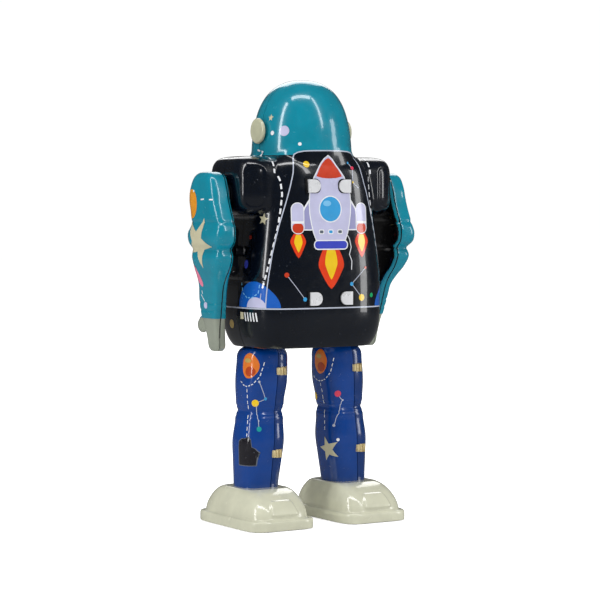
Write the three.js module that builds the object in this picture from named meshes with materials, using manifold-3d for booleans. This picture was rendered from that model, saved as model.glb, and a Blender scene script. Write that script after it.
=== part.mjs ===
// Clockwork tin-plate walking robot. Millimetres, +Z up, origin under the middle of the robot on the
// surface that it stands on. The robot faces -Y and its left side is +X.
//
// The body, arms, legs and feet are hollow pressings. Two steel plates inside the body carry a spring
// motor, whose cranks swing the legs about a cross axle. Left-hand pieces are modelled, and the
// right-hand ones are their mirror images.

import * as THREE from 'three';
import { mergeVertices } from 'three/addons/utils/BufferGeometryUtils.js';
import Module from 'manifold-3d';

const wasm = await Module();
wasm.setup();

// ---------- driving dimensions ----------

const wall = 0.8;          // thickness of every pressing
const gap = 0.3;           // clearance between neighbouring pieces
const footMiddleY = -1.8;  // outlines are drawn about the hips; the finished robot stands on the feet's middle
const middleY = -2.5;      // the body's middle plane, where its front and back pressings meet

// How square each outline is: 2 is an ellipse, and larger numbers are squarer
const bodyPower = 4;
const headPower = 2.2;
const armPower = 3.6;
const legPower = 3.4;
const footPower = 6.5;

// Corners in each ring of the skins
const bodyPoints = 24;
const headPoints = 20;
const shoulderPoints = 16;
const limbPoints = 14;
const footPoints = 20;

// Outlines are lists of [height, half width, half depth]
const torsoSections = [
  [74.6, 24.6, 17.2],
  [75.8, 27.4, 19.6],
  [78.4, 29.3, 21.4],
  [82, 30.6, 23],
  [87, 31.3, 23.8],
  [104, 31.4, 24],
  [118, 30, 23.6],
  [132, 28.4, 23],
  [145, 26.8, 22.4],
  [153, 24.6, 21],
  [157, 21, 18],
  [159, 16, 14],
];
const headSections = [
  [149, 21, 21],
  [160, 21, 21],
  [167, 20.4, 20.4],
  [173, 19.3, 19.4],
  [178.6, 17.5, 17.6],
  [183, 15, 15.2],
  [186.4, 11.8, 12],
  [188.8, 7.8, 8],
  [190, 3, 3],
];

// The shoulder boxes are [distance from the middle, half height, half depth]
const shoulderZ = 144.4;
const shoulderSections = [
  [19, 12.8, 17.6],
  [31, 12.8, 17.6],
  [35, 12.2, 16],
  [37.4, 10.6, 12.6],
  [38.2, 8.6, 9.4],
];

const earZ = 168;
const earRadius = 5.5;
const earStubRadius = 2.8;
const earInnerX = 20.9;
const earOuterX = 23;

// Arm: [height, centre y, half depth, inner x, outer x]
const armSections = [
  [74, -8.9, 2.6, 36.4, 40.2],
  [75.4, -8.9, 4.2, 35.7, 40.8],
  [80, -8.8, 4.8, 35.8, 41.6],
  [86, -8.7, 5.8, 36.4, 42.6],
  [89.4, -8.6, 6.6, 36.8, 43.3],
  [93.5, -8.2, 7.4, 37.2, 43.9],
  [101.6, -6.6, 8.1, 38, 44.9],
  [105.6, -4.7, 8.8, 38.6, 46.4],
  [109.7, -2.8, 10.6, 39.2, 48],
  [114.7, -1.8, 12, 39.5, 49.2],
  [117.8, -2.4, 12, 39.6, 48.6],
  [122.8, -1.4, 14.3, 39.6, 50.7],
  [128, -0.8, 13, 39.6, 49.6],
  [133, -2.2, 12, 39.6, 49.4],
  [138.5, -4, 11.4, 39.6, 49.4],
  [144.5, -4.4, 10, 39.6, 49.2],
  [148.3, -4.2, 7.8, 39.8, 48.6],
  [150.4, -4, 4.4, 40.6, 47.6],
];
const armSplitX = 41.8;    // plane where the outer pressing meets the inner tray at the shoulder
const armSplitLean = 0.07; // the plane leans inwards below the elbow
const elbowZ = 112;
const armPivotY = -4;
const armPivotZ = 141;
const rivetRadius = 1.8;
const thumb = { x: 40.6, y: -16.6, z: 85.4, halfX: 2.3, halfY: 4.2, halfZ: 3.8, tilt: 0.35 };
const rivetX = [35.8, 41.8];
const rivetHeadRadius = 3.4;
const washerX = [38.5, 39.2];
const washerRadius = 4.4;

// Leg: [height, centre x, half width, half depth]
const legY = -4;
const legSections = [
  [12, 22.4, 8.3, 8.0],
  [19, 22, 8.7, 8.4],
  [28, 21.4, 9.4, 9.1],
  [36, 20.9, 9.9, 9.6],
  [44, 20.5, 9.2, 8.9],
  [48.6, 20.2, 8.4, 8.2],
  [53, 20, 9.2, 8.9],
  [60, 19.5, 9.9, 9.6],
  [68.4, 19, 9.8, 9.5],
  [72.2, 18.9, 9.4, 9.1],
  [73.1, 18.8, 8.4, 8],
];
const legSeamShift = 2.5;  // the seam of each leg runs this far to the robot's right of the leg's middle

// Foot: [height, half width, half length, centre x, centre y]
const footSections = [
  [0, 16, 26, 23.3, footMiddleY],
  [4.7, 16, 26, 23.3, footMiddleY],
  [5, 14.6, 24.4, 23.3, footMiddleY],
  [8.5, 14.2, 23.4, 23.2, -1.9],
  [12, 13.2, 20.8, 23, -2.2],
  [14.6, 12, 17.4, 22.8, -2.8],
  [16.2, 10.9, 13.4, 22.4, -3.4],
];
const soleThickness = 0.8;

const beyond = 60;         // cutting blocks reach this far, past every skin

// Motor
const plateX = 10;
const plateThickness = 1;
const plateBack = 14;
const plateFront = -18;
const plateBottom = 76;
const plateTop = 149;
const tabZ = [97, 144.5];
const tabBackY = [21.5, 20];   // back of the body at each tab
const tabHeight = 5.6;
const tabLength = 5.8;
const tabThickness = 0.6;

const toothModule = 0.8;
const greatTeeth = 36;
const secondTeeth = 27;
const pinionTeeth = 9;
const mainArbor = { y: -1, z: 117, radius: 1.5 };
const crankArbor = { y: legY, z: 92, radius: 1.2 };
const hipAxle = { y: legY, z: 80, radius: 1.5 };
const secondArborRadius = 1.2;
const greatWheelX = [-6, -4.6];
const ratchetX = [-8, -6.7];
const ratchetTeeth = 12;
const ratchetRadius = 5;
const springX = [-3.4, 0.8];
const secondWheelX = [2.4, 3.8];
const crankDiscX = [11.5, 12.5];
const crankRadius = 1.5;
const leverX = [13.2, 14.2];
const leverTop = 97;
const leverFoot = 46;
const leverFootHalf = 3;
const forkHalf = 4.4;
const forkArmHalf = 6;
const forkBottom = 7.5;    // above the hip axle
const axleHeadRadius = 2.6;
const axleEnd = 15.6;
const pillarRadius = 2.1;
const pillarEndRadius = 1.2;
const pillars = [
  { name: 'pillar_top_front', y: -13, z: 143 },
  { name: 'pillar_top_back', y: 9.5, z: 143 },
  { name: 'pillar_bottom_back', y: 9.5, z: 80 },
];

const keyX = [32.2, 38.2];
const keyHubX = [30.9, 34.6];
const keyReach = 10.5;
const keySheet = 1.4;

const arborOverhang = 1.2; // how far the arbors stand out of the motor plates
const bearingHead = 0.8;   // thickness of a riveted-over end

// ---------- solids ----------

function orient(geometry) {
  // Turns the faces outwards where the winding came out reversed.
  const position = geometry.attributes.position;
  const index = geometry.index.array;
  const [a, b, c] = [new THREE.Vector3(), new THREE.Vector3(), new THREE.Vector3()];
  let volume = 0;
  for (let i = 0; i < index.length; i += 3) {
    a.fromBufferAttribute(position, index[i]);
    b.fromBufferAttribute(position, index[i + 1]);
    c.fromBufferAttribute(position, index[i + 2]);
    volume += a.dot(b.cross(c));
  }
  if (volume < 0) {
    for (let i = 0; i < index.length; i += 3) {
      [index[i + 1], index[i + 2]] = [index[i + 2], index[i + 1]];
    }
  }
  return geometry;
}

function solid(geometry) {
  // A closed geometry as a manifold solid.
  let clean = geometry.clone();
  clean.deleteAttribute('normal');
  clean.deleteAttribute('uv');
  clean = orient(mergeVertices(clean, 1e-4));
  return new wasm.Manifold(new wasm.Mesh({
    numProp: 3,
    vertProperties: new Float32Array(clean.attributes.position.array),
    triVerts: new Uint32Array(clean.index.array),
  }));
}

function geometryOf(manifold) {
  const mesh = manifold.getMesh();
  const geometry = new THREE.BufferGeometry();
  geometry.setAttribute('position', new THREE.BufferAttribute(new Float32Array(mesh.vertProperties), 3));
  geometry.setIndex(new THREE.BufferAttribute(new Uint32Array(mesh.triVerts), 1));
  geometry.computeVertexNormals();
  return geometry;
}

function union(solids) {
  return solids.reduce((sum, item) => sum.add(item));
}

function block([x0, x1], [y0, y1], [z0, z1]) {
  const geometry = new THREE.BoxGeometry(x1 - x0, y1 - y0, z1 - z0);
  geometry.translate((x0 + x1) / 2, (y0 + y1) / 2, (z0 + z1) / 2);
  return solid(geometry);
}

function rod(radius, [x0, x1], y, z, segments = 12) {
  // A round bar along X.
  const geometry = new THREE.CylinderGeometry(radius, radius, x1 - x0, segments);
  geometry.rotateZ(-Math.PI / 2);
  geometry.translate((x0 + x1) / 2, y, z);
  return solid(geometry);
}

function turned(profile, y, z, segments = 16) {
  // A turned piece along X, from a list of [x, radius] that starts and ends on the axis.
  const points = profile.map(([x, radius]) => new THREE.Vector2(radius, x));
  const geometry = new THREE.LatheGeometry(points, segments);
  geometry.rotateZ(-Math.PI / 2);
  geometry.translate(0, y, z);
  return solid(geometry);
}

function platePiece(shape, [x0, x1]) {
  // A flat sheet in the YZ plane: the shape is drawn with y across and z up.
  const geometry = new THREE.ExtrudeGeometry(shape, { depth: x1 - x0, bevelEnabled: false, curveSegments: 5 });
  const turn = new THREE.Matrix4().makeBasis(
    new THREE.Vector3(0, 1, 0),
    new THREE.Vector3(0, 0, 1),
    new THREE.Vector3(1, 0, 0),
  );
  geometry.applyMatrix4(turn);
  geometry.translate(x0, 0, 0);
  return solid(geometry);
}

function loft(sections, power, count) {
  // A closed skin over rounded-rectangle rings, each { x, y, z, halfX, halfY }.
  const vertices = [];
  const index = [];
  const round = (value) => Math.sign(value) * Math.abs(value) ** (2 / power);
  for (const ring of sections) {
    for (let i = 0; i < count; i++) {
      const turn = ((i + 0.5) / count) * 2 * Math.PI;
      const x = ring.x + ring.halfX * round(Math.cos(turn));
      const y = ring.y + ring.halfY * round(Math.sin(turn));
      vertices.push(x, y, ring.z);
    }
  }
  for (let ring = 0; ring + 1 < sections.length; ring++) {
    for (let i = 0; i < count; i++) {
      const here = ring * count + i;
      const next = ring * count + (i + 1) % count;
      index.push(here, next, here + count, next, next + count, here + count);
    }
  }
  const last = sections.length - 1;
  for (const [ring, flip] of [[0, true], [last, false]]) {
    const centre = vertices.length / 3;
    vertices.push(sections[ring].x, sections[ring].y, sections[ring].z);
    for (let i = 0; i < count; i++) {
      const here = ring * count + i;
      const next = ring * count + (i + 1) % count;
      index.push(centre, flip ? next : here, flip ? here : next);
    }
  }
  const geometry = new THREE.BufferGeometry();
  geometry.setAttribute('position', new THREE.BufferAttribute(new Float32Array(vertices), 3));
  geometry.setIndex(index);
  return geometry;
}

function inset(sections, depth) {
  // The same rings moved inwards by depth, square to the skin.
  return sections.map((ring, i) => {
    const below = sections[Math.max(i - 1, 0)];
    const above = sections[Math.min(i + 1, sections.length - 1)];
    const growth = (above.halfX + above.halfY - below.halfX - below.halfY) / 2;
    const rise = above.z - below.z;
    const length = Math.hypot(growth, rise);
    let [outward, upward] = [rise / length, -growth / length];
    if (i === 0) [outward, upward] = [0.5, -1];
    if (i === sections.length - 1) [outward, upward] = [0.5, 1];
    return {
      ...ring,
      z: ring.z - depth * upward,
      halfX: Math.max(ring.halfX - depth * outward, 0.4),
      halfY: Math.max(ring.halfY - depth * outward, 0.4),
    };
  });
}

function mirrored(manifold) {
  return manifold.mirror([1, 0, 0]);
}

// ---------- sections as rings ----------

const bodyRing = ([z, halfX, halfY]) => ({ x: 0, y: middleY, z, halfX, halfY });
const torsoRings = torsoSections.map(bodyRing);
const headRings = headSections.map(bodyRing);
const shoulderRings = shoulderSections.map(bodyRing);
const armRings = armSections.map(([z, y, halfY, innerX, outerX]) => (
  { x: (innerX + outerX) / 2, y, z, halfX: (outerX - innerX) / 2, halfY }
));
const legRings = legSections.map(([z, x, halfX, halfY]) => ({ x, y: legY, z, halfX, halfY }));
const footRings = footSections.map(([z, halfX, halfY, x, y]) => ({ x, y, z, halfX, halfY }));

// ---------- body pressings ----------

function bodyVolume(depth) {
  // Head, torso and both shoulders as one volume, moved inwards by depth.
  const torso = solid(loft(inset(torsoRings, depth), bodyPower, bodyPoints));
  const head = solid(loft(inset(headRings, depth), headPower, headPoints));
  const shoulderLoft = loft(inset(shoulderRings, depth), bodyPower, shoulderPoints);
  shoulderLoft.rotateY(Math.PI / 2);
  shoulderLoft.translate(0, 0, shoulderZ);
  const shoulder = solid(shoulderLoft);
  return union([torso, head, shoulder, mirrored(shoulder)]);
}

function tabSlots() {
  const slots = [];
  for (const side of [-1, 1]) {
    for (const z of tabZ) {
      const x = side * plateX;
      const halfX = plateThickness / 2 + gap;
      const halfZ = tabHeight / 2 + gap;
      slots.push(block([x - halfX, x + halfX], [plateBack, beyond], [z - halfZ, z + halfZ]));
    }
  }
  return union(slots);
}

const bottom = torsoRings[0];
const bottomOpening = solid(loft([
  { ...bottom, z: bottom.z - 1, halfX: bottom.halfX - wall, halfY: bottom.halfY - wall },
  { ...bottom, z: bottom.z + 2, halfX: bottom.halfX - wall, halfY: bottom.halfY - wall },
], bodyPower, bodyPoints));

const bodyCuts = union([
  bottomOpening,
  tabSlots(),
  rod(earStubRadius + gap, [-beyond, beyond], middleY, earZ),
  rod(rivetRadius + gap, [-beyond, 1 - rivetX[0]], armPivotY, armPivotZ),
  rod(rivetRadius + gap, [rivetX[0] - 1, beyond], armPivotY, armPivotZ),
  rod(mainArbor.radius + gap, [plateX + 1, beyond], mainArbor.y, mainArbor.z),
]);
const bodyShell = bodyVolume(0).subtract(bodyVolume(wall)).subtract(bodyCuts);
const bodyBack = bodyShell.intersect(block([-beyond, beyond], [middleY + gap / 2, beyond], [0, 200]));
const bodyFront = bodyShell.intersect(block([-beyond, beyond], [-beyond, middleY - gap / 2], [0, 200]));

// ---------- ears ----------

const earStub = turned([
  [17.2, 0], [17.2, 4], [18, 4], [18, earStubRadius], [earInnerX - gap, earStubRadius], [earInnerX - gap, 0],
], middleY, earZ, 12);
const earDisc = turned([
  [earInnerX, 0], [earInnerX, earRadius - 0.5], [earInnerX + 0.5, earRadius], [earOuterX - 1, earRadius],
  [earOuterX, earRadius - 1.4], [earOuterX, 0],
], middleY, earZ, 18);

// ---------- arm ----------

function armSide(side) {
  // Everything outside (1) or inside (-1) of the seam plane, which leans in below the elbow.
  const shape = new THREE.Shape();
  const x = armSplitX + side * gap / 2;
  const low = x - armSplitLean * (elbowZ - 60);
  shape.moveTo(low, 60);
  shape.lineTo(x, elbowZ);
  shape.lineTo(x, 170);
  shape.lineTo(x + side * 20, 170);
  shape.lineTo(x + side * 20, 60);
  const prism = new THREE.ExtrudeGeometry(shape, { depth: 60, bevelEnabled: false });
  prism.rotateX(Math.PI / 2);
  prism.translate(0, 30, 0);
  return solid(prism);
}

function armPieces() {
  const outer = solid(loft(armRings, armPower, limbPoints));
  const inside = solid(loft(inset(armRings, wall), armPower, limbPoints));
  const thumbShape = new THREE.SphereGeometry(1, 8, 6);
  thumbShape.scale(thumb.halfX, thumb.halfY, thumb.halfZ);
  thumbShape.rotateX(thumb.tilt);
  thumbShape.translate(thumb.x, thumb.y, thumb.z);
  const hollow = outer.add(solid(thumbShape)).subtract(inside);
  const pivotHole = rod(rivetRadius + gap, [washerX[0], armSplitX], armPivotY, armPivotZ);
  return {
    outerShell: hollow.intersect(armSide(1)),
    innerTray: hollow.intersect(armSide(-1)).subtract(pivotHole),
  };
}

const arm = armPieces();
const [rivetStart, rivetEnd] = rivetX;
const rivetHead = 0.9;
const shoulderRivet = turned([
  [rivetStart, 0], [rivetStart, rivetHeadRadius], [rivetStart + 1, rivetHeadRadius], [rivetStart + 1, rivetRadius],
  [rivetEnd - rivetHead, rivetRadius], [rivetEnd - rivetHead, rivetHeadRadius], [rivetEnd, rivetHeadRadius - 0.4],
  [rivetEnd, 0],
], armPivotY, armPivotZ, 12);
const shoulderWasher = rod(washerRadius, washerX, armPivotY, armPivotZ, 16)
  .subtract(rod(rivetRadius + gap, rivetX, armPivotY, armPivotZ));

// ---------- leg and foot ----------

const leverSlot = block(
  [leverX[0] - 2 * gap, leverX[1] + 2 * gap],
  [legY - leverFootHalf - 1.4, legY + leverFootHalf + 1.4],
  [legSections[8][0] - 2, hipAxle.z],
);
const legShell = solid(loft(legRings, legPower, limbPoints))
  .subtract(solid(loft(inset(legRings, wall), legPower, limbPoints)))
  .subtract(leverSlot);

function legHalf(side, seamShift) {
  // The seam runs down the front and back of the leaning leg, beside its middle.
  const lean = new THREE.BoxGeometry(beyond, beyond, 2 * beyond);
  lean.translate(side * (beyond / 2 + gap / 2) + seamShift, 0, 0);
  const top = legRings[legRings.length - 1];
  const foot = legRings[0];
  lean.rotateY(-Math.atan2(foot.x - top.x, top.z - foot.z));
  lean.translate((top.x + foot.x) / 2, legY, (top.z + foot.z) / 2);
  return legShell.intersect(solid(lean));
}

const legHole = solid(loft(inset(legRings, -gap), legPower, limbPoints));
const base = footRings[0];
const footInside = { ...base, halfX: base.halfX - wall, halfY: base.halfY - wall };
const footCavity = solid(loft([
  { ...footInside, z: -1 },
  { ...footInside, z: footRings[1].z - wall },
  ...inset(footRings, wall).slice(2),
], footPower, footPoints));
const footShell = solid(loft(footRings, footPower, footPoints)).subtract(footCavity).subtract(legHole);
const sole = { ...base, halfX: footInside.halfX - gap, halfY: footInside.halfY - gap };
const solePlate = solid(loft([{ ...sole, z: 0 }, { ...sole, z: soleThickness }], footPower, footPoints));

function hipLever() {
  // A strip with a round eye on the hip axle and an open fork round the crank pin.
  const rightSide = [
    [leverFootHalf, leverFoot],
    [leverFootHalf, hipAxle.z - 4],
    [forkArmHalf, hipAxle.z + 6],
    [forkArmHalf, leverTop],
    [forkHalf, leverTop],
    [forkHalf, hipAxle.z + forkBottom],
  ];
  const leftSide = rightSide.map(([y, z]) => [-y, z]).reverse();
  const shape = new THREE.Shape(
    [...rightSide, ...leftSide].map(([y, z]) => new THREE.Vector2(legY + y, z)),
  );
  const eye = new THREE.Path();
  eye.absarc(hipAxle.y, hipAxle.z, hipAxle.radius + gap, 0, 2 * Math.PI, true);
  shape.holes.push(eye);
  return platePiece(shape, leverX);
}

const hipAxleBar = turned([
  [-axleEnd, 0], [-axleEnd, axleHeadRadius], [1 - axleEnd, axleHeadRadius], [1 - axleEnd, hipAxle.radius],
  [axleEnd - 1, hipAxle.radius], [axleEnd - 1, axleHeadRadius], [axleEnd, axleHeadRadius], [axleEnd, 0],
], hipAxle.y, hipAxle.z, 12);

// ---------- spring motor ----------

const pinionPitch = toothModule * pinionTeeth / 2;
const greatPitch = toothModule * greatTeeth / 2;
const secondPitch = toothModule * secondTeeth / 2;

function thirdCorner(from, to, fromLength, toLength) {
  // The point at the given distances from two points, on the +Y side of the line between them.
  const [dy, dz] = [to.y - from.y, to.z - from.z];
  const span = Math.hypot(dy, dz);
  const along = (fromLength ** 2 - toLength ** 2 + span ** 2) / (2 * span);
  const across = Math.sqrt(fromLength ** 2 - along ** 2);
  return {
    y: from.y + (along * dy - across * dz) / span,
    z: from.z + (along * dz + across * dy) / span,
  };
}

const secondArbor = thirdCorner(mainArbor, crankArbor, greatPitch + pinionPitch, secondPitch + pinionPitch);

function gear(teeth, [x0, x1], centre, bore, phase = 0) {
  // A spur wheel with tapered teeth, slimmer than half the pitch so that a pair runs free.
  const pitch = toothModule * teeth / 2;
  const root = pitch - 1.1 * toothModule;
  const tip = pitch + 0.75 * toothModule;
  const outline = [];
  for (let i = 0; i < teeth; i++) {
    for (const [radius, share] of [[root, -0.31], [tip, -0.1], [tip, 0.1], [root, 0.31]]) {
      const turn = ((i + share + phase) / teeth) * 2 * Math.PI;
      outline.push(new THREE.Vector2(centre.y + radius * Math.cos(turn), centre.z + radius * Math.sin(turn)));
    }
  }
  const shape = new THREE.Shape(outline);
  if (bore > 0) {
    const hole = new THREE.Path();
    hole.absarc(centre.y, centre.z, bore, 0, 2 * Math.PI, true);
    shape.holes.push(hole);
  }
  return platePiece(shape, [x0, x1]);
}

function meshPhase(centre, teeth, driver, driverTeeth, driverPhase) {
  // The phase that puts a gap of this wheel where the driver has a tooth, on the line of centres.
  const toDriver = Math.atan2(driver.z - centre.z, driver.y - centre.y) / (2 * Math.PI);
  const fromDriver = toDriver + 0.5;
  const driverTooth = fromDriver * driverTeeth - driverPhase;
  return toDriver * teeth + (driverTooth - Math.floor(driverTooth)) + 0.5;
}

const greatWheel = gear(greatTeeth, greatWheelX, mainArbor, mainArbor.radius + gap);
const secondPinionPhase = meshPhase(secondArbor, pinionTeeth, mainArbor, greatTeeth, 0);
const secondPinion = gear(pinionTeeth, [greatWheelX[0] - 0.8, greatWheelX[1] + 0.8], secondArbor, 0, secondPinionPhase);
const secondShaft = secondPinion
  .add(rod(secondArborRadius, [-plateX - arborOverhang, plateX + arborOverhang], secondArbor.y, secondArbor.z));
const secondWheel = gear(secondTeeth, secondWheelX, secondArbor, secondArborRadius + gap);
const crankPinionPhase = meshPhase(crankArbor, pinionTeeth, secondArbor, secondTeeth, 0);
const crankShaft = gear(pinionTeeth, [secondWheelX[0] - 0.8, secondWheelX[1] + 0.8], crankArbor, 0, crankPinionPhase)
  .add(rod(crankArbor.radius, [-plateX - arborOverhang, plateX + arborOverhang], crankArbor.y, crankArbor.z));

function crankDisc(side) {
  // The pins of the two discs stand opposite each other, so that the legs step in turn.
  const [x0, x1] = side > 0 ? crankDiscX : [-crankDiscX[1], -crankDiscX[0]];
  const pinX = side > 0 ? [crankDiscX[1] - 0.2, leverX[1] + 0.6] : [-leverX[1] - 0.6, -crankDiscX[1] + 0.2];
  return rod(4, [x0, x1], crankArbor.y, crankArbor.z, 16)
    .add(rod(0.8, pinX, crankArbor.y, crankArbor.z + side * crankRadius, 10));
}

function ratchetWheel() {
  const outline = [];
  for (let i = 0; i < ratchetTeeth; i++) {
    for (const [radius, share] of [[ratchetRadius, 0], [ratchetRadius - 1.2, 0.12]]) {
      const turn = ((i + share) / ratchetTeeth) * 2 * Math.PI;
      outline.push(new THREE.Vector2(mainArbor.y + radius * Math.cos(turn), mainArbor.z + radius * Math.sin(turn)));
    }
  }
  const shape = new THREE.Shape(outline);
  const hole = new THREE.Path();
  hole.absarc(mainArbor.y, mainArbor.z, mainArbor.radius + gap, 0, 2 * Math.PI, true);
  shape.holes.push(hole);
  return platePiece(shape, ratchetX);
}

const clickPivot = { y: mainArbor.y + 7.5, z: mainArbor.z + 5.5 };
function click() {
  // A pawl beside the ratchet wheel, its nose just clear of the teeth.
  const shape = new THREE.Shape();
  shape.absarc(clickPivot.y, clickPivot.z, 1.6, -Math.PI * 0.25, Math.PI * 0.75, false);
  shape.lineTo(mainArbor.y + 2.6, mainArbor.z + 5.6);
  shape.lineTo(mainArbor.y + 3.2, mainArbor.z + 4.8);
  return platePiece(shape, ratchetX);
}

function mainspring() {
  const turns = 3.5;
  const perTurn = 12;
  const strip = 0.5;
  const [inner, outer] = [3.4, 14.4];
  const side = (offset) => {
    const points = [];
    for (let i = 0; i <= turns * perTurn; i++) {
      const share = i / (turns * perTurn);
      const radius = inner + (outer - inner) * share + offset;
      const turn = (i / perTurn) * 2 * Math.PI;
      points.push(new THREE.Vector2(mainArbor.y + radius * Math.cos(turn), mainArbor.z + radius * Math.sin(turn)));
    }
    return points;
  };
  return platePiece(new THREE.Shape([...side(strip / 2), ...side(-strip / 2).reverse()]), springX);
}

function motorPlate() {
  // Left plate: a rounded sheet with its bearings, and two tabs bent towards the middle of the back.
  const shape = new THREE.Shape();
  const corner = 4;
  shape.moveTo(plateFront + corner, plateBottom);
  shape.lineTo(plateBack - corner, plateBottom);
  shape.absarc(plateBack - corner, plateBottom + corner, corner, -Math.PI / 2, 0, false);
  shape.absarc(plateBack - corner, plateTop - corner, corner, 0, Math.PI / 2, false);
  shape.absarc(plateFront + corner, plateTop - corner, corner, Math.PI / 2, Math.PI, false);
  shape.absarc(plateFront + corner, plateBottom + corner, corner, Math.PI, Math.PI * 1.5, false);
  const bearings = [
    [mainArbor, mainArbor.radius],
    [secondArbor, secondArborRadius],
    [crankArbor, crankArbor.radius],
    [hipAxle, hipAxle.radius],
    ...pillars.map((pillar) => [pillar, pillarEndRadius]),
  ];
  for (const [centre, radius] of bearings) {
    const hole = new THREE.Path();
    hole.absarc(centre.y, centre.z, radius + gap, 0, 2 * Math.PI, true);
    shape.holes.push(hole);
  }
  const sheet = platePiece(shape, [plateX - plateThickness / 2, plateX + plateThickness / 2]);
  const tabs = tabZ.map((z, i) => bentTab(z, tabBackY[i]));
  return union([sheet, ...tabs]);
}

function bentTab(z, backY) {
  const outerFace = backY + gap + tabThickness;
  const half = tabHeight / 2;
  const edge = plateX + plateThickness / 2;
  const tongue = block([plateX - plateThickness / 2, edge], [plateBack - 1, outerFace], [z - half, z + half]);
  const shape = new THREE.Shape();
  shape.moveTo(edge, z - half);
  shape.lineTo(edge, z + half);
  shape.lineTo(edge - tabLength + half, z + half);
  shape.absarc(edge - tabLength + half, z, half, Math.PI / 2, Math.PI * 1.5, false);
  const flat = new THREE.ExtrudeGeometry(shape, { depth: tabThickness, bevelEnabled: false, curveSegments: 8 });
  flat.rotateX(Math.PI / 2);
  flat.translate(0, outerFace, 0);
  return tongue.add(solid(flat));
}

function pillar({ y, z }) {
  const inner = plateX - plateThickness / 2 - gap;
  const outer = plateX + plateThickness / 2 + gap;
  const headRadius = pillarEndRadius + 0.7;
  return turned([
    [-outer - bearingHead, 0], [-outer - bearingHead, headRadius], [-outer, headRadius],
    [-outer, pillarEndRadius], [-inner, pillarEndRadius], [-inner, pillarRadius],
    [inner, pillarRadius], [inner, pillarEndRadius], [outer, pillarEndRadius],
    [outer, headRadius], [outer + bearingHead, headRadius], [outer + bearingHead, 0],
  ], y, z, 8);
}

const arborBar = rod(mainArbor.radius, [-plateX - arborOverhang, keyHubX[0] - gap], mainArbor.y, mainArbor.z);

function windingKey() {
  // Two round lobes on a short hub, cut from sheet.
  const lobes = [];
  const middleX = (keyX[0] + keyX[1]) / 2;
  const lobeRadius = (keyX[1] - keyX[0]) / 2;
  for (const side of [-1, 1]) {
    const lobe = new THREE.CylinderGeometry(lobeRadius, lobeRadius, keySheet, 12);
    const eye = new THREE.CylinderGeometry(keySheet, keySheet, 2 * keySheet, 8);
    for (const shape of [lobe, eye]) {
      shape.translate(middleX, mainArbor.y, mainArbor.z + side * (keyReach - lobeRadius));
    }
    lobes.push(solid(lobe).subtract(solid(eye)));
  }
  const bridgeHalf = keyReach - 2 * lobeRadius + 1;
  const bridge = block(
    [keyX[0] + 0.6, keyX[1] - 2],
    [mainArbor.y - keySheet / 2, mainArbor.y + keySheet / 2],
    [mainArbor.z - bridgeHalf - 1, mainArbor.z + bridgeHalf + 1],
  );
  return union([...lobes, bridge, rod(2.4, keyHubX, mainArbor.y, mainArbor.z)]);
}

// ---------- assembly ----------

const finishes = {
  teal: { color: 0x0aa0b8, roughness: 0.2, metalness: 0.3 },
  navy: { color: 0x0b1628, roughness: 0.2, metalness: 0.3 },
  blue: { color: 0x12408f, roughness: 0.2, metalness: 0.3 },
  ivory: { color: 0xcbcbb4, roughness: 0.3, metalness: 0.2 },
  black: { color: 0x101214, roughness: 0.5, metalness: 0.1 },
  steel: { color: 0xb8bcc2, roughness: 0.3, metalness: 1 },
  brass: { color: 0xc8a04a, roughness: 0.35, metalness: 1 },
};

const robot = new THREE.Group();

function place(name, manifold, finish) {
  const standing = manifold.translate([0, -footMiddleY, 0]);
  const mesh = new THREE.Mesh(geometryOf(standing), new THREE.MeshStandardMaterial(finishes[finish]));
  mesh.name = name;
  robot.add(mesh);
}

function placePair(name, manifold, finish) {
  place(`${name}_left`, manifold, finish);
  place(`${name}_right`, mirrored(manifold), finish);
}

place('body_back_shell', bodyBack, 'navy');
place('body_front_shell', bodyFront, 'navy');
placePair('ear_stub', earStub, 'black');
placePair('ear_disc', earDisc, 'ivory');
placePair('arm_outer_shell', arm.outerShell, 'teal');
placePair('arm_inner_tray', arm.innerTray, 'teal');
placePair('shoulder_rivet', shoulderRivet, 'steel');
placePair('shoulder_washer', shoulderWasher, 'steel');
place('leg_outer_shell_left', legHalf(1, -legSeamShift), 'blue');
place('leg_inner_shell_left', legHalf(-1, -legSeamShift), 'blue');
place('leg_outer_shell_right', mirrored(legHalf(1, legSeamShift)), 'blue');
place('leg_inner_shell_right', mirrored(legHalf(-1, legSeamShift)), 'blue');
placePair('hip_lever', hipLever(), 'steel');
placePair('foot_shell', footShell, 'ivory');
placePair('sole_plate', solePlate, 'steel');
placePair('motor_plate', motorPlate(), 'steel');
place('hip_axle', hipAxleBar, 'steel');
for (const post of pillars) place(post.name, pillar(post), 'steel');
place('mainspring', mainspring(), 'steel');
place('great_wheel', greatWheel, 'brass');
place('ratchet_wheel', ratchetWheel(), 'steel');
place('click', click(), 'steel');
place('main_arbor', arborBar, 'steel');
place('winding_key', windingKey(), 'steel');
place('second_arbor', secondShaft, 'steel');
place('second_wheel', secondWheel, 'brass');
place('crank_arbor', crankShaft, 'steel');
place('crank_disc_left', crankDisc(1), 'brass');
place('crank_disc_right', crankDisc(-1), 'brass');

export default robot;
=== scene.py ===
"""Looks of the clockwork tin robot. Metres, +Z up; the robot faces -Y and its left side is +X.

The CAD pressings are replaced by finely modelled ones of the same outlines. The printing on the tin is
made of thin ink pieces that lie on those pressings. Outline tables and print drawings are in millimetres.
"""
import math

import bmesh
import bpy
import numpy as np
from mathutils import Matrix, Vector
from mathutils.bvhtree import BVHTree


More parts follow.
